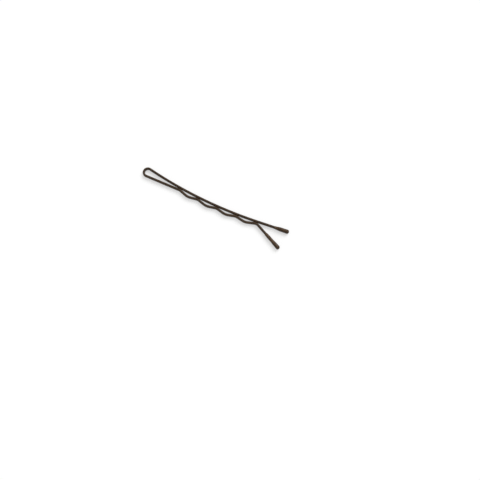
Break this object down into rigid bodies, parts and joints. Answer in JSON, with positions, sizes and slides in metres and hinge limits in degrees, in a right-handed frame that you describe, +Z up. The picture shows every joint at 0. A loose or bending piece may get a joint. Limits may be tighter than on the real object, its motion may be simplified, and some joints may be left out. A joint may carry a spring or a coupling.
{
  "type": "bobby pin",
  "caption": "Hair grip of flattened spring wire: a bowed straight leg and a wavy crimped leg joined by a round head bend, with a dipped smooth tip on each end.",
  "frame": {"origin": "under the middle of the outline, on the surface that the tips lie on", "axes": "+X along the grip from the head to the tips, +Z up through the thickness, crimped leg on the -Y side"},
  "size_m": [0.051, 0.0076, 0.0017],
  "materials": {
    "wire_enamel": "dark brown baked enamel on spring steel, semi-gloss",
    "tip_resin": "dipped brown resin, soft gloss"
  },
  "bodies": {
    "straight_side": {"straight_leg": "wire_enamel", "head_bend": "wire_enamel", "straight_leg_tip": "tip_resin"},
    "crimped_side": {"crimped_leg": "wire_enamel", "crimped_leg_tip": "tip_resin"}
  },
  "joints": [
    {"name": "leg_spread", "type": "hinge", "parent": "straight_side", "child": "crimped_side", "pos_m": [-0.02387, 0.00215, 0.00086], "axis": [0, 0, -1], "range_deg": [0, 20], "stiffness_Nm_per_rad": 0.18, "deforming": ["head_bend"]}
  ]
}
